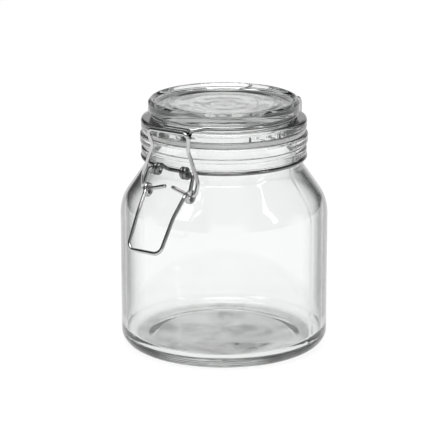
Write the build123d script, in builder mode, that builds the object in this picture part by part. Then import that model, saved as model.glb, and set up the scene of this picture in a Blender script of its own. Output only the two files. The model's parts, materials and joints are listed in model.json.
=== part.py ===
from build123d import *

import os
from math import acos, cos, degrees, hypot, radians, sin

# Round glass storage jar with a hinged glass lid, a sealing ring and a steel wire clamp.
# Origin: centre of the base, on the surface the jar stands on. +Z up, clamp towards -Y, hinge at +Y.
# Every size is in millimetres.

# ---------------------------------------------------------------- jar
body_radius = 60.0
wall_height = 85.0  # where the side wall and the straight shoulder would meet
shoulder_rise = 20.4  # from there to the foot of the neck
neck_radius = 45.6
base_corner = 12.0
shoulder_round = 24.0
neck_round = 5.0
wall = 3.2
neck_wall = 4.1
base_thickness = 5.5
punt_radius = body_radius - 16.0  # the underside is hollowed inside this radius
punt_depth = 1.8
punt_slope = 6.0  # width of the ring that rises from the foot to the hollow
punt_round = 4.0
foot_round = 2.0
floor_blend = 30.0
shoulder_step = 0.3  # of the wall: how much lower the shoulder starts inside

neck_to_bead = 7.4
lower_bead_height = 3.8
lower_bead_radius = neck_radius + 1.9
waist_height = 2.8
waist_radius = neck_radius + 0.8
upper_bead_height = 5.8
upper_bead_radius = neck_radius + 2.7
bead_draft = 0.6
bead_edge = 0.4
lower_bead_foot = 0.7
bead_round = 1.4
rim_round = 1.2
mouth_round = 1.0

# ---------------------------------------------------------------- sealing ring
gasket_thickness = 2.7
gasket_radius = neck_radius + 1.2
gasket_round = 0.6
seal_gap = 0.1

# ---------------------------------------------------------------- lid
flange_radius = neck_radius + 2.0
flange_height = 5.6
flange_slope = 0.3  # the flange's top rises this much towards the groove
flange_edge = 0.6
flange_round = 2.0
groove_height = 3.4
groove_radius = neck_radius - 5.4
groove_corner = 0.9
disc_radius = neck_radius - 2.1
disc_height = 7.9
disc_draft = 0.4
disc_edge = 0.8
lid_rim_radius = disc_radius - 2.0
rim_drop = 2.0  # from the rim's crest to the top of the disc's side
rim_side_round = 1.2
rim_crest_round = 1.0
rim_inner_width = 2.4
rim_inner_drop = 2.2
panel_radius = disc_radius - 12.0
panel_drop = 3.5
panel_slope = 2.5  # width of the slope from the rim down to the panel
panel_edge = 4.0
bead_ring_rise = 0.7  # ring pressed round the panel
bead_ring_width = 3.0
bead_ring_round = 1.0
lid_thickness = 5.6
plug_radius = neck_radius - neck_wall - 1.5
plug_depth = 4.3
plug_wall = 4.5
plug_draft = 1.0
plug_round = 1.4
plug_clearance = 0.4
hollow_round = 3.0
overlap = 0.5  # how far one added shape reaches into the next

# ---------------------------------------------------------------- lug on the lid's front
lug_half_width = 9.6
lug_reach = 7.1  # beyond the flange
lug_rise = 1.9  # above the flange
lug_thickness = 5.0
lug_edge = 1.5
lug_corner = 3.5
seat_angle = 28.0  # of the closing wire on the lug's edge, above the horizontal

# ---------------------------------------------------------------- wire and fits
wire_radius = 1.1
fit_clearance = 0.05  # between a pin and the side of the loop it bears on
free_clearance = 0.5  # between wire and glass that never touch
wire_bend = 2.5
ring_lead = 4.0  # degrees that a ring stops short of the corner where its wire turns off

# neck band
band_drop = 0.5  # below the lower bead
eyelet_spacing = 18.4
eyelet_stand_off = 5.4  # from the band
eyelet_hole = 1.45
eyelet_lift = 1.0

# hinge
hinge_stand_off = 10.4  # beyond the flange
hinge_rise = 6.3  # above the neck band
hinge_eye_spacing = 27.0
hinge_arm_gap = 1.1

# lid wire
step_half_width = 13.7
step_inner_half_width = 8.6
groove_lift = 0.1
front_wire_gap = 1.0  # between the disc and the span in front of it
lug_wire_gap = 0.4

# lever
lever_arm_spacing = 30.0
pin_overhang = 1.3  # past the inner face of the neck eyelet
eye_hole = 1.9
eye_drop = 12.4  # from the lever's pins to the middle of its eyes
eye_spacing = 29.4
handle_bend_out = 7.7  # beyond the jar's side
handle_bend_drop = 22.3  # below the lever's pins
handle_bend_half_width = 11.9
handle_end_out = 19.4
handle_end_drop = 40.5
handle_end_half_width = 10.9
handle_corner = 4.5
handle_curve = 30.0
handle_lead = 0.5  # the handle's legs start this much inside the eyes' middle planes
arm_meets_eye = -50.0  # degrees round the eye from its jar side, downwards
leg_leaves_eye = 110.0

# closing wire
bail_corner_half_width = 13.9
bail_waist_half_width = 12.0
bail_waist_drop = 10.1
bail_waist_set_back = 2.4
bail_waist_bend = 5.0
bail_wide_half_width = 18.6
bail_wide_drop = 26.8
bail_wide_bow = 2.2
bail_wide_bend = 8.0
bail_pin_half_width = 18.0
bail_tail_half_width = 1.9
bail_tail_rise = 3.1
bail_tail_bend = 3.0
bail_tail_inset = 1.0
bail_corner = 3.0

# ---------------------------------------------------------------- heights and places worked out
neck_foot = wall_height + shoulder_rise
bead_bottom = neck_foot + neck_to_bead
bead_top = bead_bottom + lower_bead_height
waist_top = bead_top + waist_height
rim_z = waist_top + upper_bead_height
gasket_bottom = rim_z + seal_gap
flange_bottom = gasket_bottom + gasket_thickness
flange_top = flange_bottom + flange_height
disc_bottom = flange_top + groove_height
lid_top = disc_bottom + disc_height
panel_z = lid_top - panel_drop
plug_bottom = flange_bottom - plug_depth
mouth_radius = neck_radius - neck_wall

band_radius = neck_radius + wire_radius + fit_clearance
band_z = bead_bottom - band_drop - wire_radius
eyelet_ring = eyelet_hole + wire_radius
eyelet_y = band_radius + eyelet_stand_off
eyelet_z = band_z + eyelet_lift

pivot_y = eyelet_y
pivot_z = eyelet_z + eyelet_hole - wire_radius - fit_clearance

# The lever's eyes hang outside the straight part of the shoulder.
eye_ring = eye_hole + wire_radius
shoulder_run = body_radius - neck_radius
shoulder_slope = hypot(shoulder_run, shoulder_rise)
eye_z = pivot_z - eye_drop
eye_stand_off = (eye_ring + wire_radius + free_clearance) * shoulder_slope / shoulder_rise
eye_y = neck_radius + (neck_foot - eye_z) * shoulder_run / shoulder_rise + eye_stand_off
bail_pin_z = eye_z + eye_hole - wire_radius - fit_clearance

groove_wire_radius = groove_radius + wire_radius + fit_clearance
groove_wire_z = (flange_top + flange_slope + disc_bottom) / 2 + groove_lift
front_wire_z = flange_top + flange_slope / 2 + wire_radius + fit_clearance
front_wire_y = disc_radius + wire_radius + front_wire_gap

lug_inner_y = front_wire_y + wire_radius + lug_wire_gap
lug_tip_y = flange_radius + lug_reach
lug_top = flange_top + lug_rise
seat_reach = lug_edge + wire_radius + fit_clearance
bar_y = lug_tip_y - lug_edge + seat_reach * cos(radians(seat_angle))
bar_z = lug_top - lug_edge + seat_reach * sin(radians(seat_angle))

hinge_y = flange_radius + hinge_stand_off
hinge_z = band_z + hinge_rise
hinge_eye_x = hinge_eye_spacing / 2
hinge_arm_x = hinge_eye_x + 2 * wire_radius + hinge_arm_gap
hinge_eye_ring = 2 * wire_radius + fit_clearance

handle_bend_y = body_radius + handle_bend_out
handle_end_y = body_radius + handle_end_out


def wire_section(path):
    """The wire's round section, square to the start of a path."""
    with BuildSketch(Plane(origin=path @ 0, z_dir=path % 0)) as section:
        Circle(wire_radius)
    return section.sketch


def mirrored(half):
    """A path's right half, given from its tip to the middle, carried on to the left tip."""
    return half + [(-x, y, z) for x, y, z in reversed(half)]


def ring_point(radius, turn, z):
    """A point of a level ring about the jar's axis, at an angle in degrees from +X."""
    return (radius * cos(radians(turn)), radius * sin(radians(turn)), z)


def turn_off(radius, turn, x, z):
    """Where the tangent to a level ring at the given angle reaches the given x."""
    run = (radius * cos(radians(turn)) - x) / sin(radians(turn))
    return (x, radius * sin(radians(turn)) + run * cos(radians(turn)), z)


def turn_at(radius, x, side):
    """The angle from +X at which a ring stops for a wire that turns off at x, behind or in front."""
    return side * (degrees(acos(x / radius)) - ring_lead)


def on_eye(turn):
    """The y and z of a point on the lever's eye, at an angle in degrees from its jar side, downwards."""
    return (-eye_y + eye_ring * cos(radians(turn)), eye_z - eye_ring * sin(radians(turn)))


os.makedirs("parts", exist_ok=True)

# ---------------------------------------------------------------- jar body
with BuildPart() as jar_body:
    with BuildSketch(Plane.XZ):
        with BuildLine():
            outside = FilletPolyline(
                (0, punt_depth),
                (punt_radius - punt_slope, punt_depth),
                (punt_radius, 0),
                (body_radius, 0),
                (body_radius, wall_height),
                (neck_radius, neck_foot),
                (neck_radius, bead_bottom),
                (lower_bead_radius, bead_bottom),
                (lower_bead_radius, bead_top),
                (waist_radius, bead_top + bead_draft),
                (waist_radius, waist_top - bead_draft),
                (upper_bead_radius, waist_top),
                (upper_bead_radius, rim_z),
                (0, rim_z),
                radius=[
                    punt_round, foot_round, base_corner, shoulder_round, neck_round, bead_edge,
                    lower_bead_foot, bead_round, bead_edge, bead_edge, bead_round, rim_round,
                ],
            )
            Line(outside @ 1, outside @ 0)
        make_face()
    revolve(axis=Axis.Z)
    with BuildSketch(Plane.XZ):
        with BuildLine():
            inside = FilletPolyline(
                (0, base_thickness + punt_depth),
                (punt_radius, base_thickness),
                (body_radius - wall, base_thickness),
                (body_radius - wall, wall_height - shoulder_step * wall),
                (mouth_radius, neck_foot),
                (mouth_radius, rim_z + overlap),
                (0, rim_z + overlap),
                radius=[
                    floor_blend, base_corner - wall, shoulder_round - wall, neck_round + neck_wall, 0,
                ],
            )
            Line(inside @ 1, inside @ 0)
        make_face()
    revolve(axis=Axis.Z, mode=Mode.SUBTRACT)
    mouth_edge = jar_body.edges().filter_by(GeomType.CIRCLE).sort_by(Axis.Z)[-2:]
    fillet(mouth_edge.sort_by(SortBy.RADIUS)[0], radius=mouth_round)
jar_body.part.label = "jar_body"
export_step(jar_body.part, "parts/jar_body.step")

# ---------------------------------------------------------------- sealing ring
with BuildPart() as gasket:
    with BuildSketch(Plane.XY.offset(gasket_bottom)):
        Circle(gasket_radius)
        Circle(plug_radius + plug_clearance, mode=Mode.SUBTRACT)
    extrude(amount=gasket_thickness)
    fillet(gasket.edges().filter_by(GeomType.CIRCLE), radius=gasket_round)
gasket.part.label = "gasket"
export_step(gasket.part, "parts/gasket.step")

# ---------------------------------------------------------------- lid
with BuildPart() as lid:
    with BuildSketch(Plane.XZ):
        with BuildLine():
            crown = FilletPolyline(
                (0, flange_bottom),
                (flange_radius, flange_bottom),
                (flange_radius, flange_top),
                (groove_radius, flange_top + flange_slope),
                (groove_radius, disc_bottom),
                (disc_radius, disc_bottom + disc_draft),
                (disc_radius, lid_top - rim_drop),
                (lid_rim_radius, lid_top),
                (lid_rim_radius - rim_inner_width, lid_top - rim_inner_drop),
                (panel_radius + panel_slope, panel_z),
                (panel_radius, panel_z + bead_ring_rise),
                (panel_radius - bead_ring_width, panel_z),
                (0, panel_z),
                radius=[
                    flange_edge, flange_round, groove_corner, groove_corner, disc_edge,
                    rim_side_round, rim_crest_round, rim_crest_round, panel_edge, bead_ring_round,
                    bead_ring_width,
                ],
            )
            Line(crown @ 1, crown @ 0)
        make_face()
    revolve(axis=Axis.Z)
    # plug that drops into the mouth, hollow underneath
    with BuildSketch(Plane.XZ):
        with BuildLine():
            plug = FilletPolyline(
                (0, plug_bottom),
                (plug_radius, plug_bottom),
                (plug_radius, flange_bottom + overlap),
                (0, flange_bottom + overlap),
                radius=[plug_round, 0],
            )
            Line(plug @ 1, plug @ 0)
        make_face()
    revolve(axis=Axis.Z)
    with BuildSketch(Plane.XZ):
        with BuildLine():
            hollow = FilletPolyline(
                (0, plug_bottom - overlap),
                (plug_radius - plug_wall + plug_draft, plug_bottom - overlap),
                (plug_radius - plug_wall - plug_draft, panel_z - lid_thickness),
                (0, panel_z - lid_thickness),
                radius=[0, hollow_round],
            )
            Line(hollow @ 1, hollow @ 0)
        make_face()
    revolve(axis=Axis.Z, mode=Mode.SUBTRACT)
    # lug: a slab under the flange's top level, with a raised lip that the closing wire hooks over
    with BuildSketch(Plane.XY.offset(lug_top - lug_thickness)):
        with Locations((0, -(disc_radius + lug_tip_y) / 2)):
            Rectangle(2 * lug_half_width, lug_tip_y - disc_radius)
    extrude(amount=lug_thickness - lug_rise)
    with BuildSketch(Plane.XY.offset(flange_top - overlap)):
        with Locations((0, -(lug_inner_y + lug_tip_y) / 2)):
            Rectangle(2 * lug_half_width, lug_tip_y - lug_inner_y)
    extrude(amount=lug_rise + overlap)
    lug_corners = lid.edges().filter_by(Axis.Z).group_by(Axis.Y)[0]
    fillet(lug_corners, radius=lug_corner)
    lug_front = lid.faces().filter_by(Axis.Y).sort_by(Axis.Y)[0]
    fillet(lug_front.edges().sort_by(Axis.Z)[-1], radius=lug_edge)
lid.part.label = "lid"
export_step(lid.part, "parts/lid.step")

# ---------------------------------------------------------------- neck band, eyelets and hinge bar
band_turn = turn_at(band_radius, hinge_arm_x, 1)
with BuildPart() as neck_wire:
    with BuildLine() as band_path:
        CenterArc((0, 0, band_z), band_radius, 180 - band_turn, 180 + 2 * band_turn)
    sweep(sections=wire_section(band_path.line), path=band_path.line)
    # the band's ends turn out and up, and the hinge bar joins them
    with BuildLine() as hinge_path:
        hinge_half = [
            ring_point(band_radius, band_turn, band_z),
            turn_off(band_radius, band_turn, hinge_arm_x, band_z),
            (hinge_arm_x, hinge_y, band_z),
            (hinge_arm_x, hinge_y, hinge_z),
        ]
        FilletPolyline(*mirrored(hinge_half), radius=wire_bend)
    sweep(sections=wire_section(hinge_path.line), path=hinge_path.line)
    # eyelets for the lever's pins, each on a short stem
    for eyelet_x in (-eyelet_spacing / 2, eyelet_spacing / 2):
        with Locations(Plane(origin=(eyelet_x, -eyelet_y, eyelet_z), z_dir=(1, 0, 0))):
            Torus(eyelet_ring, wire_radius)
        with BuildLine() as stem_path:
            Line(
                ring_point(band_radius, -degrees(acos(eyelet_x / band_radius)), band_z),
                (eyelet_x, -eyelet_y + eyelet_ring, eyelet_z),
            )
        sweep(sections=wire_section(stem_path.line), path=stem_path.line)
neck_wire.part.label = "neck_wire"
export_step(neck_wire.part, "parts/neck_wire.step")

# ---------------------------------------------------------------- lid wire
leg_turn = turn_at(groove_wire_radius, hinge_eye_x, 1)
step_turn = turn_at(groove_wire_radius, step_half_width, -1)
with BuildPart() as lid_wire:
    # in front, the wire steps out of the groove and crosses behind the lug's lip
    with BuildLine() as front_path:
        front_half = [
            ring_point(groove_wire_radius, step_turn, groove_wire_z),
            turn_off(groove_wire_radius, step_turn, step_half_width, groove_wire_z),
            (step_inner_half_width, -front_wire_y, front_wire_z),
        ]
        FilletPolyline(*mirrored(front_half), radius=wire_bend)
    sweep(sections=wire_section(front_path.line), path=front_path.line)
    for first_turn in (step_turn, 180 - leg_turn):
        with BuildLine() as groove_path:
            CenterArc((0, 0, groove_wire_z), groove_wire_radius, first_turn, leg_turn - step_turn)
        sweep(sections=wire_section(groove_path.line), path=groove_path.line)
    # behind, each leg runs out over the flange and down to its eye on the hinge bar
    with BuildLine() as leg_path:
        FilletPolyline(
            ring_point(groove_wire_radius, leg_turn, groove_wire_z),
            turn_off(groove_wire_radius, leg_turn, hinge_eye_x, groove_wire_z),
            (hinge_eye_x, hinge_y, groove_wire_z),
            (hinge_eye_x, hinge_y, hinge_z + hinge_eye_ring),
            radius=[wire_bend, wire_bend],
        )
    leg = sweep(sections=wire_section(leg_path.line), path=leg_path.line)
    mirror(leg, about=Plane.YZ)
    for eye_x in (-hinge_eye_x, hinge_eye_x):
        with Locations(Plane(origin=(eye_x, hinge_y, hinge_z), z_dir=(1, 0, 0))):
            Torus(hinge_eye_ring, wire_radius)
lid_wire.part.label = "lid_wire"
export_step(lid_wire.part, "parts/lid_wire.step")

# ---------------------------------------------------------------- lever with its handle
pin_tip_x = eyelet_spacing / 2 - wire_radius - pin_overhang
with BuildPart() as lever:
    for side in (-1, 1):
        with BuildLine() as arm_path:
            FilletPolyline(
                (side * pin_tip_x, -pivot_y, pivot_z),
                (side * lever_arm_spacing / 2, -pivot_y, pivot_z),
                (side * eye_spacing / 2, *on_eye(arm_meets_eye)),
                radius=[wire_bend],
            )
        sweep(sections=wire_section(arm_path.line), path=arm_path.line)
        with Locations(Plane(origin=(side * eye_spacing / 2, -eye_y, eye_z), z_dir=(1, 0, 0))):
            Torus(eye_ring, wire_radius)
    with BuildLine() as handle_path:
        bend_z = pivot_z - handle_bend_drop
        handle_half = [
            (eye_spacing / 2 - handle_lead, *on_eye(leg_leaves_eye)),
            (handle_bend_half_width, -handle_bend_y, bend_z),
            (handle_end_half_width, -handle_end_y, pivot_z - handle_end_drop),
        ]
        handle_radii = [handle_curve, handle_corner, handle_corner, handle_curve]
        FilletPolyline(*mirrored(handle_half), radius=handle_radii)
    sweep(sections=wire_section(handle_path.line), path=handle_path.line)
lever.part.label = "lever"
export_step(lever.part, "parts/lever.step")

# ---------------------------------------------------------------- closing wire
with BuildPart() as bail:
    with BuildLine() as bail_path:
        tail_knee_x = eye_spacing / 2 - wire_radius - bail_tail_inset
        bail_half = [
            (bail_tail_half_width, -eye_y, bail_pin_z + bail_tail_rise),
            (tail_knee_x, -eye_y, bail_pin_z),
            (bail_pin_half_width, -eye_y, bail_pin_z),
            (bail_wide_half_width, -(eye_y + 3 * bar_y) / 4 + bail_wide_bow, bar_z - bail_wide_drop),
            (bail_waist_half_width, -bar_y + bail_waist_set_back, bar_z - bail_waist_drop),
            (bail_corner_half_width, -bar_y, bar_z),
        ]
        half_radii = [bail_tail_bend, wire_bend, bail_wide_bend, bail_waist_bend, bail_corner]
        FilletPolyline(*mirrored(bail_half), radius=half_radii + half_radii[::-1])
    sweep(sections=wire_section(bail_path.line), path=bail_path.line)
bail.part.label = "bail"
export_step(bail.part, "parts/bail.step")
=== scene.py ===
import json
from math import acos, atan2, ceil, cos, pi, radians, sin, sqrt, tan

import bmesh
import bpy
import numpy as np
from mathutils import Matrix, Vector


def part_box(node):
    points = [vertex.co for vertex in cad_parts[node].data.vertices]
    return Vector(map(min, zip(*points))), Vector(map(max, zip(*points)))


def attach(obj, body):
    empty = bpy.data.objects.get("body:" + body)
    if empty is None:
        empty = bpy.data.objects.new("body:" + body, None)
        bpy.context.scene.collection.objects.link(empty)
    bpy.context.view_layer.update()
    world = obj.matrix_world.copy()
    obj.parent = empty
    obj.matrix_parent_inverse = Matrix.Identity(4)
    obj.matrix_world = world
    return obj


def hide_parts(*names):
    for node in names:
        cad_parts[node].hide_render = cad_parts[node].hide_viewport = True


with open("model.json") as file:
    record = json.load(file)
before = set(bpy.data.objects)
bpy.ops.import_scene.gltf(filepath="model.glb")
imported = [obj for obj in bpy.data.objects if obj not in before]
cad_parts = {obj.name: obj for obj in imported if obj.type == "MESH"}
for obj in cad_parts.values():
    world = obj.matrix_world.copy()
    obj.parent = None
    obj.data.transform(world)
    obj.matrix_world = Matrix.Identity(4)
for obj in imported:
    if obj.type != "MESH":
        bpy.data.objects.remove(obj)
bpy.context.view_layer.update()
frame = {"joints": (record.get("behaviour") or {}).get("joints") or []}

# Round glass jar with a hinged glass lid, a sealing ring and a steel wire clamp.
# Metres. The jar's axis is Z, the clamp is towards -Y and the hinge at +Y.
MM = 0.001
JOINTS = {joint["name"]: Vector(joint["pos_m"]) for joint in frame["joints"]}


# ---------------------------------------------------------------- outlines and meshes
def rounded(points, radii, arc_step=radians(9)):
    """A polyline with each inner corner turned into an arc of its radius."""
    points = [np.array(p, float) for p in points]
    path = [points[0]]
    for before, corner, after, radius in zip(points, points[1:], points[2:], radii):
        back = (before - corner) / np.linalg.norm(before - corner)
        ahead = (after - corner) / np.linalg.norm(after - corner)
        inner = acos(np.clip(back @ ahead, -1, 1))
        turn = pi - inner
        if radius <= 0 or turn < 1e-4:
            path.append(corner)
            continue
        reach = radius * tan(turn / 2)
        reach = min(reach, 0.499 * np.linalg.norm(before - corner), 0.499 * np.linalg.norm(after - corner))
        radius = reach / tan(turn / 2)
        middle = (back + ahead) / np.linalg.norm(back + ahead)
        centre = corner + middle * radius / sin(inner / 2)
        start = corner + back * reach - centre
        side = corner + ahead * reach - centre
        across = side - start * cos(turn)
        across = across / np.linalg.norm(across) * radius
        steps = max(2, ceil(turn / arc_step))
        for k in range(steps + 1):
            a = turn * k / steps
            path.append(centre + start * cos(a) + across * sin(a))
    path.append(points[-1])
    return path


def new_mesh(name, verts, faces, smooth=True):
    """A mesh object from plain lists."""
    mesh = bpy.data.meshes.new(name)
    mesh.from_pydata([tuple(v) for v in verts], [], faces)
    mesh.validate()
    mesh.update()
    mesh.polygons.foreach_set("use_smooth", [smooth] * len(mesh.polygons))
    piece = bpy.data.objects.new(name, mesh)
    bpy.context.scene.collection.objects.link(piece)
    return piece


def outward(piece):
    """Turns every face of a closed piece to point out of the material."""
    work = bmesh.new()
    work.from_mesh(piece.data)
    bmesh.ops.recalc_face_normals(work, faces=work.faces)
    work.to_mesh(piece.data)
    work.free()
    piece.data.update()
    return piece


def lathe(name, outline, segments=256, shape=None, ring=False):
    """A closed turned body. The outline, as (r, z), goes from the axis round to the axis again,
    or all the way round its own section if the body is a ring."""
    rings = [np.array(p) for p in outline]
    if ring:
        rings = rings[:-1]
    verts, rows = [], []
    for r, z in rings:
        if r < 1e-6:
            rows.append([len(verts)] * segments)
            verts.append((0, 0, z))
            continue
        rows.append(list(range(len(verts), len(verts) + segments)))
        for k in range(segments):
            a = 2 * pi * k / segments
            x, y, height = r * cos(a), r * sin(a), z
            if shape:
                x, y, height = shape(x, y, height, a, r)
            verts.append((x, y, height))
    if ring:
        rows.append(rows[0])
    faces = []
    for low, high in zip(rows, rows[1:]):
        for k in range(segments):
            n = (k + 1) % segments
            face = [low[k], low[n], high[n], high[k]]
            face = [v for i, v in enumerate(face) if v != face[i - 1]]
            if len(face) > 2:
                faces.append(face)
    return outward(new_mesh(name, verts, faces))


def spaced(path, step):
    """The same path with no span longer than a step."""
    out = [path[0]]
    for a, b in zip(path, path[1:]):
        count = max(1, ceil(np.linalg.norm(b - a) / step))
        out += [a + (b - a) * k / count for k in range(1, count + 1)]
    return out


def tube_mesh(path, radius, sides=20, closed=False):
    """Vertices and faces of a round wire along a path, with domed ends."""
    points = [path[0]]
    for p in path[1:]:
        if np.linalg.norm(p - points[-1]) > radius * 0.05:
            points.append(p)
    if closed and np.linalg.norm(points[0] - points[-1]) < radius * 0.05:
        points.pop()
    points = np.array(points)
    if closed:
        tangents = np.roll(points, -1, 0) - np.roll(points, 1, 0)
    else:
        tangents = np.gradient(points, axis=0)
    tangents /= np.linalg.norm(tangents, axis=1)[:, None]
    helper = np.array((0, 0, 1.0)) if abs(tangents[0][2]) < 0.9 else np.array((1.0, 0, 0))
    normal = np.cross(tangents[0], helper)
    normal /= np.linalg.norm(normal)
    normals = [normal]
    for a, b in zip(tangents, tangents[1:]):
        normal = normals[-1] - b * (normals[-1] @ b)
        normals.append(normal / np.linalg.norm(normal))
    if closed:
        # spread the leftover twist over the ring so that its two ends meet
        last = normals[-1] - tangents[0] * (normals[-1] @ tangents[0])
        last /= np.linalg.norm(last)
        twist = atan2(np.cross(last, normals[0]) @ tangents[0], last @ normals[0])
        count = len(points)
        turned = []
        for k, (n, t) in enumerate(zip(normals, tangents)):
            a = twist * k / count
            turned.append(n * cos(a) + np.cross(t, n) * sin(a))
        normals = turned
    rings = [(p, t, n, radius) for p, t, n in zip(points, tangents, normals)]
    if not closed:
        dome = [radians(v) for v in (25, 50, 72)]
        reach = radius * 0.55
        first, ahead = points[0], tangents[0]
        last, behind = points[-1], tangents[-1]
        start = [
            (first + ahead * reach * (1 - sin(a)), ahead, normals[0], radius * cos(a))
            for a in reversed(dome)
        ]
        end = [(last - behind * reach * (1 - sin(a)), behind, normals[-1], radius * cos(a)) for a in dome]
        rings[0] = (first + ahead * reach, ahead, normals[0], radius)
        rings[-1] = (last - behind * reach, behind, normals[-1], radius)
        rings = start + rings + end
    verts, faces = [], []
    for p, t, n, r in rings:
        b = np.cross(t, n)
        for k in range(sides):
            a = 2 * pi * k / sides
            verts.append(p + (n * cos(a) + b * sin(a)) * r)
    count = len(rings)
    spans = count if closed else count - 1
    for i in range(spans):
        j = (i + 1) % count
        for k in range(sides):
            m = (k + 1) % sides
            faces.append([i * sides + k, i * sides + m, j * sides + m, j * sides + k])
    if not closed:
        faces.append(list(range(sides))[::-1])
        faces.append([(count - 1) * sides + k for k in range(sides)])
    return verts, faces


def wire_piece(name, paths, radius, closed=()):
    """One piece of bent wire from one or more paths."""
    verts, faces = [], []
    for i, path in enumerate(paths):
        more, their_faces = tube_mesh(spaced(path, 4 * MM), radius, closed=i in closed)
        faces += [[v + len(verts) for v in f] for f in their_faces]
        verts += more
    return outward(new_mesh(name, verts, faces))


def coil(centre, ring, start, turn, x_from, x_to):
    """Points of a wire eye round an X axis. Angles go from +Y down through -Z, in radians."""
    steps = max(6, ceil(abs(turn) / radians(9)))
    points = []
    for k in range(steps + 1):
        a = start + turn * k / steps
        x = x_from + (x_to - x_from) * k / steps
        points.append(np.array((x, centre[0] + ring * cos(a), centre[1] - ring * sin(a))))
    return points


def flip(path):
    """The mirror image of a path about the plane through clamp and hinge."""
    return [np.array((-p[0], p[1], p[2])) for p in path]


# ---------------------------------------------------------------- node helpers
def material(name):
    """A new material with its nodes, its shader and a function that adds a node."""
    mat = bpy.data.materials.new(name)
    mat.use_nodes = True
    tree = mat.node_tree
    shader = tree.nodes["Principled BSDF"]

    def add(kind, **settings):
        node = tree.nodes.new(kind)
        for key, value in settings.items():
            if key in node.inputs:
                node.inputs[key].default_value = value
            else:
                setattr(node, key, value)
        return node

    return mat, tree, shader, add


def ramp(tree, stops):
    """A colour ramp from (place, grey or colour) pairs."""
    node = tree.nodes.new("ShaderNodeValToRGB")
    elements = node.color_ramp.elements
    while len(elements) < len(stops):
        elements.new(0.5)
    for element, (place, value) in zip(elements, stops):
        element.position = place
        colour = value if isinstance(value, tuple) else (value, value, value)
        element.color = (*colour, 1)
    return node


def between(tree, source, start, stop, low=0.0):
    """A value that goes from low to 1 while the source goes from start to stop."""
    node = tree.nodes.new("ShaderNodeMapRange")
    node.inputs["From Min"].default_value = start
    node.inputs["From Max"].default_value = stop
    node.inputs["To Min"].default_value = low
    tree.links.new(source, node.inputs["Value"])
    return node.outputs["Result"]


def multiply(tree, first, second):
    """A node that multiplies two colours in full, unless its factor is linked."""
    node = tree.nodes.new("ShaderNodeMix")
    node.data_type = "RGBA"
    node.blend_type = "MULTIPLY"
    node.inputs["Factor"].default_value = 1.0
    tree.links.new(first, node.inputs[6])
    tree.links.new(second, node.inputs[7])
    return node


def painted_bottom_shade(tree, shader, add, place, glass):
    """Painted shade on the bottom plate: a blotchy grey tint that darkens it, standing in for the shadow
    under the jar seen through the glass as well as for the plate's uneven thickness.
    The painted shade on the outline fades out towards the bottom."""
    link = tree.links.new
    parts = add("ShaderNodeSeparateXYZ")
    link(place.outputs["Object"], parts.inputs["Vector"])
    flat = add("ShaderNodeCombineXYZ")
    link(parts.outputs["X"], flat.inputs["X"])
    link(parts.outputs["Y"], flat.inputs["Y"])
    off_axis = add("ShaderNodeVectorMath", operation="LENGTH")
    link(flat.outputs["Vector"], off_axis.inputs[0])
    within = add("ShaderNodeMath", operation="MULTIPLY")
    link(between(tree, parts.outputs["Z"], 8.8 * MM, 7.4 * MM), within.inputs[0])
    link(between(tree, off_axis.outputs["Value"], 52.5 * MM, 50 * MM), within.inputs[1])
    cloud = add("ShaderNodeTexNoise", Scale=38.0, Detail=2.5, Roughness=0.55, Distortion=0.9)
    link(flat.outputs["Vector"], cloud.inputs["Vector"])
    bottom_shade_blotch = ramp(tree, [(0.34, 0.34), (0.45, 0.60), (0.60, 0.74), (0.7, 0.88)])
    link(cloud.outputs["Fac"], bottom_shade_blotch.inputs["Fac"])
    bottom_shade_tint = multiply(tree, glass.outputs[2], bottom_shade_blotch.outputs["Color"])
    link(within.outputs["Value"], bottom_shade_tint.inputs["Factor"])
    link(bottom_shade_tint.outputs[2], shader.inputs["Base Color"])
    link(between(tree, parts.outputs["Z"], 6 * MM, 20 * MM, 0.25), glass.inputs["Factor"])


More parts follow.
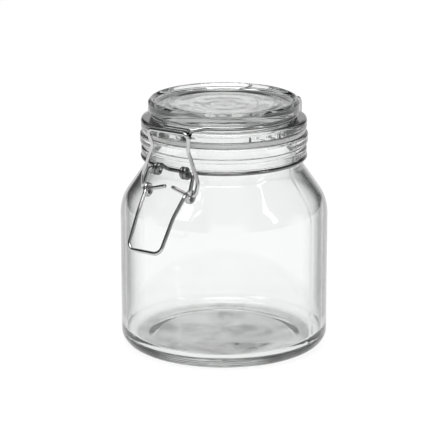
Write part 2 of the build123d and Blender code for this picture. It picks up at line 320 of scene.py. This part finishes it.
def glass_material(name, ripple, seeds, tint, murk, edge, bottom=False):
    """Clear moulded glass: a faint tint, a slow ripple from the mould and tiny seeds, with painted shade
    along its outline and, if asked, painted shade on its bottom plate.
    """
    mat, tree, shader, add = material(name)
    link = tree.links.new
    shader.inputs["Transmission Weight"].default_value = 1.0
    shader.inputs["IOR"].default_value = 1.50
    place = add("ShaderNodeTexCoord")
    flow = add("ShaderNodeMapping")
    flow.inputs["Scale"].default_value = (1, 1, 0.45)
    link(place.outputs["Object"], flow.inputs["Vector"])
    slow = add("ShaderNodeTexNoise", Scale=38.0, Detail=2.0, Roughness=0.45)
    link(flow.outputs["Vector"], slow.inputs["Vector"])
    fine = add("ShaderNodeTexVoronoi", Scale=420.0)
    link(place.outputs["Object"], fine.inputs["Vector"])
    seed_shape = ramp(tree, [(0.0, 1.0), (0.07, 0.0)])
    link(fine.outputs["Distance"], seed_shape.inputs["Fac"])
    slow_bump = add("ShaderNodeBump", Strength=ripple, Distance=0.0012)
    link(slow.outputs["Fac"], slow_bump.inputs["Height"])
    fine_bump = add("ShaderNodeBump", Strength=seeds, Distance=0.0001)
    link(seed_shape.outputs["Color"], fine_bump.inputs["Height"])
    link(slow_bump.outputs["Normal"], fine_bump.inputs["Normal"])
    link(fine_bump.outputs["Normal"], shader.inputs["Normal"])
    shade = ramp(tree, [(0.3, tint), (0.7, tuple(min(1.0, part + 0.008) for part in tint))])
    link(slow.outputs["Fac"], shade.inputs["Fac"])
    # painted shade: a tint that deepens at grazing angles darkens the outline of clear glass, standing in
    # for the dark edges its surroundings give it
    graze = add("ShaderNodeLayerWeight", Blend=0.5)
    link(fine_bump.outputs["Normal"], graze.inputs["Normal"])
    rim = ramp(tree, [(0.42, 1.0), (0.58, edge + 0.7 * (1 - edge)), (0.74, edge), (1.0, edge * 0.5)])
    link(graze.outputs["Facing"], rim.inputs["Fac"])
    tint_with_edge_shade = multiply(tree, shade.outputs["Color"], rim.outputs["Color"])
    link(tint_with_edge_shade.outputs[2], shader.inputs["Base Color"])
    # the bottom plate gets painted shade
    if bottom:
        painted_bottom_shade(tree, shader, add, place, tint_with_edge_shade)
    haze = ramp(tree, [(0.35, 0.0), (0.8, 0.02)])
    link(slow.outputs["Fac"], haze.inputs["Fac"])
    link(haze.outputs["Color"], shader.inputs["Roughness"])
    # the glass itself takes a little light, so thick parts and edges look darker
    depth = add("ShaderNodeVolumeAbsorption", Density=murk)
    depth.inputs["Color"].default_value = (0.8985, 0.9015, 0.900, 1)
    link(depth.outputs["Volume"], tree.nodes["Material Output"].inputs["Volume"])
    return mat


def steel_material(name, grey, rough):
    """Bright drawn wire: fine draw lines, slight stains and small roughness changes."""
    mat, tree, shader, add = material(name)
    link = tree.links.new
    shader.inputs["Metallic"].default_value = 1.0
    place = add("ShaderNodeTexCoord")
    stain = add("ShaderNodeTexNoise", Scale=160.0, Detail=5.0, Roughness=0.6)
    link(place.outputs["Object"], stain.inputs["Vector"])
    lines = add("ShaderNodeTexNoise", Scale=2600.0, Detail=3.0, Roughness=0.7)
    link(place.outputs["Object"], lines.inputs["Vector"])
    shade = ramp(tree, [(0.3, grey * 0.86), (0.7, min(1.0, grey * 1.08))])
    link(stain.outputs["Fac"], shade.inputs["Fac"])
    link(shade.outputs["Color"], shader.inputs["Base Color"])
    gloss = ramp(tree, [(0.3, rough * 0.7), (0.75, rough * 1.5)])
    link(stain.outputs["Fac"], gloss.inputs["Fac"])
    link(gloss.outputs["Color"], shader.inputs["Roughness"])
    bump = add("ShaderNodeBump", Strength=0.12, Distance=0.00004)
    link(lines.outputs["Fac"], bump.inputs["Height"])
    link(bump.outputs["Normal"], shader.inputs["Normal"])
    return mat


def seal_material(name):
    """Milky translucent silicone with a matt skin and faint flow marks."""
    mat, tree, shader, add = material(name)
    link = tree.links.new
    shader.inputs["Transmission Weight"].default_value = 0.35
    shader.inputs["IOR"].default_value = 1.41
    shader.inputs["Subsurface Weight"].default_value = 0.3
    shader.inputs["Subsurface Radius"].default_value = (0.004, 0.004, 0.004)
    shader.inputs["Subsurface Scale"].default_value = 1.0
    place = add("ShaderNodeTexCoord")
    cloud = add("ShaderNodeTexNoise", Scale=220.0, Detail=4.0, Roughness=0.55)
    link(place.outputs["Object"], cloud.inputs["Vector"])
    shade = ramp(tree, [(0.3, (0.93, 0.935, 0.925)), (0.7, (0.985, 0.985, 0.98))])
    link(cloud.outputs["Fac"], shade.inputs["Fac"])
    link(shade.outputs["Color"], shader.inputs["Base Color"])
    gloss = ramp(tree, [(0.3, 0.28), (0.7, 0.42)])
    link(cloud.outputs["Fac"], gloss.inputs["Fac"])
    link(gloss.outputs["Color"], shader.inputs["Roughness"])
    bump = add("ShaderNodeBump", Strength=0.15, Distance=0.0001)
    link(cloud.outputs["Fac"], bump.inputs["Height"])
    link(bump.outputs["Normal"], shader.inputs["Normal"])
    return mat


def dress(piece, mat, body, node):
    """Gives a piece its material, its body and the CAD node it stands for."""
    piece.data.materials.append(mat)
    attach(piece, body)
    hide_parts(node)
    return piece


# ---------------------------------------------------------------- sizes read from the frame
jar_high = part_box("jar_body")[1]
lid_low, lid_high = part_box("lid")
seal_low, seal_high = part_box("gasket")
band_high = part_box("neck_wire")[1]
lid_wire_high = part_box("lid_wire")[1]
lever_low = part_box("lever")[0]
bail_low, bail_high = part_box("bail")

body_radius = jar_high.x
rim_z = jar_high.z
lid_top = lid_high.z
flange_radius = lid_high.x
lug_tip_y = -lid_low.y
WIRE = 1.1 * MM
FIT = 0.05 * MM


# ---------------------------------------------------------------- jar
neck_radius = 45.6 * MM
lower_bead_radius = 47.5 * MM
waist_radius = 46.4 * MM
upper_bead_radius = 48.3 * MM
mouth_radius = 41.5 * MM
bead_bottom = rim_z - 12.4 * MM
bead_top = bead_bottom + 3.8 * MM
waist_top = bead_top + 2.8 * MM
neck_foot = bead_bottom - 7.4 * MM
shoulder_foot = neck_foot - 20.4 * MM
wall = 3.2 * MM
floor_z = 5.5 * MM
punt_radius = 44 * MM
punt_depth = 1.8 * MM
seam_height = 0.12 * MM
seam_half_width = 0.5 * MM
ripple_height = 0.32 * MM  # of the skin inside the bottom
ripple_inner = 2 * MM
ripple_outer = punt_radius - 4 * MM


def jar_outline():
    """The jar's section, from the underside's centre round the outside, over the rim and down inside."""
    side = body_radius - seam_height
    outside = rounded(
        [
            (0, punt_depth),
            (punt_radius - 6 * MM, punt_depth),
            (punt_radius, 0),
            (side, 0),
            (side, shoulder_foot),
            (neck_radius, neck_foot),
            (neck_radius, bead_bottom),
            (lower_bead_radius, bead_bottom),
            (lower_bead_radius, bead_top),
            (waist_radius, bead_top + 0.6 * MM),
            (waist_radius, waist_top - 0.6 * MM),
            (upper_bead_radius - seam_height, waist_top),
            (upper_bead_radius - seam_height, rim_z),
            (mouth_radius, rim_z),
            (mouth_radius, neck_foot),
            (body_radius - wall, shoulder_foot - 0.3 * wall),
            (body_radius - wall, floor_z),
            (punt_radius, floor_z),
            (0, floor_z + punt_depth),
        ],
        [
            4 * MM, 2 * MM, 14 * MM, 24 * MM, 5 * MM, 0.4 * MM, 1.2 * MM, 1.4 * MM, 0.5 * MM,
            0.5 * MM, 1.6 * MM, 1.4 * MM, 1.2 * MM, 9 * MM, 21 * MM, 10.8 * MM, 30 * MM,
        ],
        radians(4),
    )
    return spaced(outside, 3 * MM)


def mould_seam(x, y, z, angle, r):
    """Two hair-thin seams, on the jar's left and right, where the halves of the mould met,
    and the uneven skin that the gob leaves inside the bottom."""
    inner_wall = body_radius - wall
    if floor_z - 0.5 * MM < z < floor_z + 2.5 * MM and ripple_inner < r < ripple_outer:
        fade = min(1.0, (r - ripple_inner) / (6 * MM), (ripple_outer - r) / (8 * MM))
        swirl = sin(2 * angle + 90 * r)
        swirl += 0.8 * sin(3 * angle - 160 * r + 1.0)
        swirl += 0.7 * sin(5 * angle + 60 * r + 2.2)
        return x, y, z + ripple_height * fade * swirl * (0.35 + 0.65 * r / punt_radius)
    if r < neck_radius - 1 * MM or z < 1 * MM:
        return x, y, z
    off = abs(sin(angle)) * r
    if r > mouth_radius + 1 * MM and off < seam_half_width and abs(r - inner_wall) >= 0.1 * MM:
        k = 1 + seam_height / r * (1 - off / seam_half_width)
        return x * k, y * k, z
    return x, y, z


clear_glass = glass_material("jar_clear_glass", 0.10, 0.10, (0.955, 0.961, 0.958), 40.0, 0.10, bottom=True)
lid_glass = glass_material("lid_pressed_glass", 0.22, 0.10, (0.985, 0.993, 0.989), 95.0, 0.52)
jar = lathe("jar_glass", jar_outline(), shape=mould_seam)
dress(jar, clear_glass, "jar", "jar_body")

# ---------------------------------------------------------------- sealing ring
seal_outer = seal_high.x
seal_inner = 40.4 * MM
seal_start_z = seal_low.z + 1.3 * MM  # where the section is closed, on its inner side
seal_outline = rounded(
    [
        (seal_inner, seal_start_z),
        (seal_inner, seal_low.z),
        (seal_outer, seal_low.z),
        (seal_outer, seal_high.z),
        (seal_inner, seal_high.z),
        (seal_inner, seal_start_z),
    ],
    [0.6 * MM] * 4,
    radians(15),
)
seal = lathe("sealing_ring", spaced(seal_outline, 1.5 * MM), segments=192, ring=True)
dress(seal, seal_material("milky_silicone"), "lid", "gasket")

# ---------------------------------------------------------------- lid
flange_bottom = lid_low.z + 4.3 * MM
flange_top = flange_bottom + 5.6 * MM
groove_radius = 40.2 * MM
disc_bottom = flange_top + 3.4 * MM
disc_radius = 43.5 * MM
crest_radius = 41.5 * MM
panel_radius = 31.5 * MM
panel_z = lid_top - 3.1 * MM
plug_radius = 40 * MM
lug_half_width = 9.6 * MM
lug_bottom = flange_top - 3.1 * MM
lug_top = flange_top + 1.9 * MM


def lid_outline():
    """The lid's section, from the hollow under its middle round the plug and flange to the top's centre."""
    hollow_z = panel_z - 5.6 * MM
    plug_bottom = lid_low.z
    corners = [
        (0, hollow_z),
        (plug_radius - 5.5 * MM, hollow_z),
        (plug_radius - 3.9 * MM, plug_bottom),
        (plug_radius, plug_bottom),
        (plug_radius, flange_bottom),
        (flange_radius, flange_bottom),
        (flange_radius, flange_top),
        (groove_radius, flange_top + 0.3 * MM),
        (groove_radius, disc_bottom),
        (disc_radius, disc_bottom + 0.4 * MM),
        (disc_radius, lid_top - 1.9 * MM),
        (crest_radius, lid_top + 0.25 * MM),
        (crest_radius - 2.4 * MM, lid_top - 1.9 * MM),
        (panel_radius + 2.5 * MM, panel_z),
        (panel_radius, panel_z + 0.7 * MM),
        (panel_radius - 3 * MM, panel_z),
        (0, panel_z),
    ]
    radii = [3, 1.4, 1.4, 0.5, 0.8, 2.0, 0.9, 0.9, 0.8, 1.4, 1.1, 1.2, 4, 1.0, 3]
    return spaced(rounded(corners, [r * MM for r in radii], radians(6)), 1.2 * MM)


def panel_rings(x, y, z, angle, r):
    """Shallow rings pressed into the panel on the lid's top."""
    if z > panel_z - 0.3 * MM and r < panel_radius - 2 * MM:
        z += 0.09 * MM * sin(r / (1.9 * MM)) * (1 - 0.3 * r / panel_radius)
    return x, y, z


def rounded_slab(name, half_width, back_y, front_y, low, high, corner, edge):
    """A slab on the lid's front with a rounded front corner seen from above and soft edges."""
    plan = rounded(
        [
            (half_width, back_y, 0),
            (half_width, front_y, 0),
            (-half_width, front_y, 0),
            (-half_width, back_y, 0),
        ],
        [corner, corner],
        radians(6),
    )
    steps = 8
    quarter = [k / steps * pi / 2 for k in range(steps + 1)]
    levels = [(edge * (1 - sin(a)), low + edge * (1 - cos(a))) for a in quarter]
    levels += [(edge * (1 - cos(a)), high - edge * (1 - sin(a))) for a in quarter]
    length = abs(front_y - back_y)
    count = len(plan)
    verts, faces = [], []
    for inset, z in levels:
        for x, y, _ in plan:
            x_inset = x * (half_width - inset) / half_width
            y_inset = back_y + (y - back_y) * (length - inset) / length
            verts.append((x_inset, y_inset, z))
    for i in range(len(levels) - 1):
        for k in range(count):
            n = (k + 1) % count
            faces.append([i * count + k, i * count + n, (i + 1) * count + n, (i + 1) * count + k])
    faces.append(list(range(count))[::-1])
    faces.append([(len(levels) - 1) * count + k for k in range(count)])
    return outward(new_mesh(name, verts, faces))


def fuse(piece, *others):
    """Joins the other closed pieces into the first as one closed piece."""
    for other in others:
        join = piece.modifiers.new("join", "BOOLEAN")
        join.operation = "UNION"
        join.solver = "EXACT"
        join.object = other
    graph = bpy.context.evaluated_depsgraph_get()
    mesh = bpy.data.meshes.new_from_object(piece.evaluated_get(graph))
    piece.modifiers.clear()
    piece.data = mesh
    for other in others:
        bpy.data.objects.remove(other)
    mesh.polygons.foreach_set("use_smooth", [True] * len(mesh.polygons))
    mesh.set_sharp_from_angle(angle=radians(35))
    return piece


lid = lathe("lid_glass_top", lid_outline(), shape=panel_rings)
lug_lip_y = -(disc_radius + 3.6 * MM)
slab = rounded_slab(
    "lug_slab", lug_half_width, -disc_radius, -lug_tip_y, lug_bottom, lug_top - 1.9 * MM, 3.5 * MM, 0.3 * MM
)
lip = rounded_slab(
    "lug_lip", lug_half_width - 0.3 * MM, lug_lip_y, -lug_tip_y, lug_bottom + 0.2 * MM, lug_top,
    4.5 * MM, 1.9 * MM,
)
fuse(lid, slab, lip)
dress(lid, lid_glass, "lid", "lid")

# ---------------------------------------------------------------- wires
hinge = JOINTS["lid_hinge"]
pivot = JOINTS["lever_swing"]
pin = JOINTS["bail_swing"]


def at(x, y, z):
    """A point in metres."""
    return np.array((x, y, z), float)


def ring_arc(radius, z, start, stop, step=radians(3)):
    """Points of a level ring about the jar's axis, angles in radians from +X."""
    count = max(2, ceil(abs(stop - start) / step))
    angles = [start + (stop - start) * k / count for k in range(count + 1)]
    return [at(radius * cos(a), radius * sin(a), z) for a in angles]


def corner_of(radius, x, z, side):
    """Where a level ring reaches the given x, behind (side 1) or in front (side -1)."""
    return at(x, side * sqrt(radius**2 - x**2), z)


def bend(path, radii):
    """A bent wire's path, its corners rounded."""
    return rounded(path, radii, radians(8))


def tangent_angle(centre, ring, target, lower):
    """The coil angle at which the straight run to a target (y, z) leaves the coil's lower or upper side."""
    run_y, run_z = target[0] - centre[0], target[1] - centre[1]
    direct = atan2(-run_z, run_y)
    spread = acos(ring / sqrt(run_y**2 + run_z**2))
    return direct + spread if lower else direct - spread


# neck band: at the front it leaves the neck twice to make the coils that hold the lever's pins
band_radius = band_high.x - WIRE
band_z = hinge.z - 6.3 * MM
hinge_arm_x = 16.8 * MM
coil_centre = (pivot.y, pivot.z - 0.3 * MM)
coil_ring = 2.55 * MM
coil_outer_x, coil_inner_x = 11.0 * MM, 7.4 * MM
foot = (-45.9 * MM, band_z)
coil_in = tangent_angle(coil_centre, coil_ring, foot, True)
coil_out = tangent_angle(coil_centre, coil_ring, foot, False) + 4 * pi
back_turn = acos(hinge_arm_x / band_radius)
front_turn = acos((coil_outer_x + 3.4 * MM) / band_radius)
neck_half = [at(0, hinge.y, hinge.z)]
neck_half += bend(
    [
        at(4 * MM, hinge.y, hinge.z),
        at(hinge_arm_x, hinge.y, hinge.z),
        at(hinge_arm_x, hinge.y, band_z),
        at(hinge_arm_x, band_radius * sin(back_turn - radians(4)) + 3.6 * MM, band_z),
        ring_arc(band_radius, band_z, back_turn - radians(4), back_turn - radians(5))[0],
    ],
    [2.5 * MM, 2.5 * MM, 2.5 * MM],
)
neck_half += ring_arc(band_radius, band_z, back_turn - radians(6), -front_turn)
coil_path = coil(coil_centre, coil_ring, coil_in, coil_out - coil_in, coil_outer_x, coil_inner_x)
neck_half += bend(
    [
        ring_arc(band_radius, band_z, -front_turn, -front_turn - radians(1))[1],
        corner_of(band_radius, coil_outer_x, band_z, -1),
        coil_path[0],
    ],
    [1.8 * MM],
)[1:-1]
neck_half += coil_path
neck_half += bend(
    [coil_path[-1], corner_of(band_radius, coil_inner_x, band_z, -1), at(0, -band_radius, band_z)],
    [1.8 * MM],
)[1:]
neck_path = neck_half + flip(neck_half)[::-1][1:-1]
neck = wire_piece("neck_band_wire", [neck_path], WIRE, closed=(0,))

# lid wire: sits in the groove, steps forward behind the lug's lip, and ends in two coils on the hinge bar
groove_wire_radius = lid_wire_high.x - WIRE
groove_z = lid_wire_high.z - WIRE
leg_x = 13.5 * MM
step_x = 13.7 * MM
hinge_coil_turn = radians(395)
hinge_ring = 2.25 * MM
front_y = -45.6 * MM
front_z = flange_top + 0.15 * MM + WIRE + FIT
leg_turn = acos(leg_x / groove_wire_radius)
step_turn = acos(step_x / groove_wire_radius)
step_corner = corner_of(groove_wire_radius, step_x, groove_z, -1)
lid_half = coil((hinge.y, hinge.z), hinge_ring, hinge_coil_turn, -hinge_coil_turn, 11.0 * MM, leg_x)
lid_half += bend(
    [
        at(leg_x, hinge.y + hinge_ring, hinge.z),
        at(leg_x, hinge.y + hinge_ring, groove_z),
        at(leg_x, groove_wire_radius * sin(leg_turn) + 3 * MM, groove_z),
        ring_arc(groove_wire_radius, groove_z, leg_turn - radians(5), 0)[0],
    ],
    [4.0 * MM, 3.0 * MM],
)[1:]
lid_half += ring_arc(groove_wire_radius, groove_z, leg_turn - radians(6), -step_turn + radians(5))
lid_half += bend(
    [
        ring_arc(groove_wire_radius, groove_z, -step_turn + radians(4), 0)[0],
        step_corner,
        at(8.6 * MM, front_y, front_z),
        at(0, front_y, front_z),
    ],
    [2.0 * MM, 2.5 * MM],
)
lid_wire_path = lid_half + flip(lid_half)[::-1][1:]
lid_hoop = wire_piece("lid_hoop_wire", [lid_wire_path], WIRE)

# lever: pins, arms, a coiled eye on each side, and the finger loop
eye_centre = (pin.y, pin.z - 0.75 * MM)
eye_ring = 3.0 * MM
arm_x = 15.0 * MM
eye_outer_x, eye_inner_x = 15.75 * MM, 13.45 * MM
handle_bend = at(11.9 * MM, lever_low.y + 12.76 * MM, pivot.z - 22.3 * MM)
handle_end = at(10.9 * MM, lever_low.y + WIRE, lever_low.z + WIRE)
eye_in = tangent_angle(eye_centre, eye_ring, (pivot.y, pivot.z), False)
eye_out = tangent_angle(eye_centre, eye_ring, (handle_bend[1], handle_bend[2]), True)
eye_in, eye_out = eye_in % (2 * pi), eye_out % (2 * pi) + 2 * pi
eye_in = eye_in - 2 * pi if eye_in > pi else eye_in
eye_path = coil(eye_centre, eye_ring, eye_in, eye_out - eye_in, eye_outer_x, eye_inner_x)
lever_half = bend(
    [at(6.8 * MM, pivot.y, pivot.z), at(arm_x, pivot.y, pivot.z), eye_path[0]],
    [2.5 * MM],
)[:-1]
lever_half += eye_path
lever_half += bend(
    [eye_path[-1], handle_bend, handle_end, at(0, handle_end[1], handle_end[2])],
    [30 * MM, 4.5 * MM],
)[1:]
lever_path = lever_half + flip(lever_half)[::-1][1:]
lever_wire = wire_piece("lever_wire", [lever_path], WIRE)

# closing wire: turned-in tails, pins through the lever's eyes, waisted sides and the bar over the lug
bar = at(0, bail_low.y + WIRE, bail_high.z - WIRE)
bail_half = bend(
    [
        at(1.9 * MM, pin.y, pin.z + 3.1 * MM),
        at(12.6 * MM, pin.y, pin.z),
        at(18.0 * MM, pin.y, pin.z),
        at(18.6 * MM, (pin.y + 3 * bar[1]) / 4 + 2.2 * MM, bar[2] - 26.8 * MM),
        at(12.0 * MM, bar[1] + 2.4 * MM, bar[2] - 10.1 * MM),
        at(13.9 * MM, bar[1], bar[2]),
        bar,
    ],
    [3 * MM, 2.5 * MM, 8 * MM, 5 * MM, 3 * MM],
)
bail_path = bail_half + flip(bail_half)[::-1][1:]
closing = wire_piece("closing_wire", [bail_path], WIRE)

# The neck band, and less so the lid wire, get darker greys than the lever and closing wire though all are
# one steel: painted shade.
steel = steel_material("band_steel_painted_shade", 0.22, 0.20)
dress(neck, steel, "jar", "neck_wire")
dress(lid_hoop, steel_material("lid_steel_painted_shade", 0.46, 0.16), "lid", "lid_wire")
dress(lever_wire, steel_material("lever_drawn_steel", 0.56, 0.14), "lever", "lever")
dress(closing, steel_material("closing_drawn_steel", 0.56, 0.14), "bail", "bail")

# ---------------------------------------------------------------- set
VIEW = radians(34)


def floor_material():
    """Matt paper with a trace of mottle, made pale by its own glow, with a painted shadow near the jar."""
    mat, tree, shader, add = material("pale_floor")
    link = tree.links.new
    place = add("ShaderNodeTexCoord")
    mottle = add("ShaderNodeTexNoise", Scale=6.0, Detail=3.0, Roughness=0.5)
    link(place.outputs["Object"], mottle.inputs["Vector"])
    shade = ramp(tree, [(0.3, 0.115), (0.7, 0.125)])
    link(mottle.outputs["Fac"], shade.inputs["Fac"])
    link(shade.outputs["Color"], shader.inputs["Base Color"])
    shader.inputs["Roughness"].default_value = 0.9
    shader.inputs["Specular IOR Level"].default_value = 0.1
    # the paper glows by itself, standing in for bounced light, and glows a little less near the jar, a
    # painted shadow
    reach = add("ShaderNodeVectorMath", operation="LENGTH")
    link(place.outputs["Object"], reach.inputs[0])
    glow_with_painted_shadow = ramp(tree, [(0.0, 0.90), (0.5, 0.92), (0.65, 0.97), (0.80, 1.0)])
    link(between(tree, reach.outputs["Value"], 0.0, 80 * MM), glow_with_painted_shadow.inputs["Fac"])
    link(glow_with_painted_shadow.outputs["Color"], shader.inputs["Emission Color"])
    shader.inputs["Emission Strength"].default_value = 0.93
    return mat


def plain_light(name, value):
    """An even glow."""
    mat, _, shader, _ = material(name)
    shader.inputs["Base Color"].default_value = (0, 0, 0, 1)
    shader.inputs["Emission Color"].default_value = (value, value, value, 1)
    shader.inputs["Emission Strength"].default_value = 1.0
    return mat


floor = new_mesh("floor", [(-4, -4, 0), (4, -4, 0), (4, 4, 0), (-4, 4, 0)], [[0, 1, 2, 3]], False)
floor.location.z = -0.0003
floor.data.materials.append(floor_material())

# a white dome that only the camera sees, behind and above the floor
dome_radius = 3.9
dome_sides = 64
dome_base_z = -0.5
dome_verts, dome_faces = [], []
for tilt in range(0, 91, 3):
    r = dome_radius * cos(radians(tilt))
    z = dome_base_z + dome_radius * sin(radians(tilt))
    for k in range(dome_sides):
        a = 2 * pi * k / dome_sides
        dome_verts.append((r * cos(a), r * sin(a), z))
for row in range(0, len(dome_verts) - dome_sides, dome_sides):
    for k in range(dome_sides):
        n = (k + 1) % dome_sides
        dome_faces.append([row + k, row + n, row + dome_sides + n, row + dome_sides + k])
dome = new_mesh("backdrop", dome_verts, dome_faces)
dome.data.materials.append(plain_light("backdrop_glow", 1.0))
dome.visible_diffuse = False
dome.visible_glossy = False
dome.visible_transmission = False
dome.visible_shadow = False
dome.visible_volume_scatter = False


def set_world():
    """Studio surroundings: light all round, with two upright dark flags beside the view
    and a darker ceiling."""
    world = bpy.data.worlds.new("studio")
    bpy.context.scene.world = world
    world.use_nodes = True
    tree = world.node_tree
    link = tree.links.new
    out = tree.nodes["Background"]
    place = tree.nodes.new("ShaderNodeTexCoord")
    turn = tree.nodes.new("ShaderNodeMapping")
    turn.vector_type = "VECTOR"
    turn.inputs["Rotation"].default_value = (0, 0, -VIEW)
    link(place.outputs["Generated"], turn.inputs["Vector"])
    split = tree.nodes.new("ShaderNodeSeparateXYZ")
    link(turn.outputs["Vector"], split.inputs["Vector"])

    def curve(source, stops):
        """A value against one of the direction's parts, from -1 to 1."""
        node = ramp(tree, [((place + 1) / 2, value) for place, value in stops])
        link(between(tree, source, -1.0, 1.0), node.inputs["Fac"])
        return node.outputs["Color"]

    across = curve(
        split.outputs["X"],
        [
            (-1.0, 0.9), (-0.95, 0.1), (-0.35, 0.1), (-0.2, 1.0),
            (0.35, 1.0), (0.5, 0.15), (0.95, 0.1), (1.0, 0.9),
        ],
    )
    upright = curve(split.outputs["Z"], [(-1.0, 1.0), (0.25, 1.0), (0.45, 0.45), (0.8, 0.35), (1.0, 0.8)])
    mix = multiply(tree, across, upright)
    link(mix.outputs[2], out.inputs["Color"])
    out.inputs["Strength"].default_value = 1.0


set_world()


def softbox(name, azimuth, elevation, distance, size, power, aim=Vector((0, 0, 0.07))):
    """A soft area light. Its azimuth is counted from the view's own direction."""
    a = VIEW + radians(azimuth)
    e = radians(elevation)
    data = bpy.data.lights.new(name, "AREA")
    data.shape = "RECTANGLE"
    data.size, data.size_y = size
    data.energy = power
    lamp = bpy.data.objects.new(name, data)
    lamp.location = aim + Vector((sin(a) * cos(e), -cos(a) * cos(e), sin(e))) * distance
    lamp.rotation_euler = (lamp.location - aim).to_track_quat("Z", "Y").to_euler()
    bpy.context.scene.collection.objects.link(lamp)
    return lamp


softbox("top_box", 0, 80, 1.4, (0.9, 0.9), 14)
softbox("left_box", -50, 40, 1.5, (0.5, 0.8), 6).visible_glossy = False
softbox("right_box", 60, 30, 1.5, (0.12, 0.9), 2)

camera_data = bpy.data.cameras.new("camera")
camera = bpy.data.objects.new("camera", camera_data)
bpy.context.scene.collection.objects.link(camera)
camera_reach = 1.2896  # level distance from the jar's axis
camera_height = 0.4315
aim = Vector((0, 0, 0.0694))
camera.location = Vector((camera_reach * sin(VIEW), -camera_reach * cos(VIEW), camera_height))
camera.rotation_euler = (aim - camera.location).to_track_quat("-Z", "Y").to_euler()
camera_data.lens = 185.8
camera_data.sensor_width = 36
camera_data.clip_start = 0.05
bpy.context.scene.camera = camera

scene = bpy.context.scene
scene.view_settings.view_transform = "Standard"
scene.view_settings.look = "None"
scene.cycles.max_bounces = 24
scene.cycles.transmission_bounces = 24
scene.cycles.glossy_bounces = 12
scene.cycles.transparent_max_bounces = 24
scene.cycles.caustics_refractive = True
scene.cycles.caustics_reflective = False
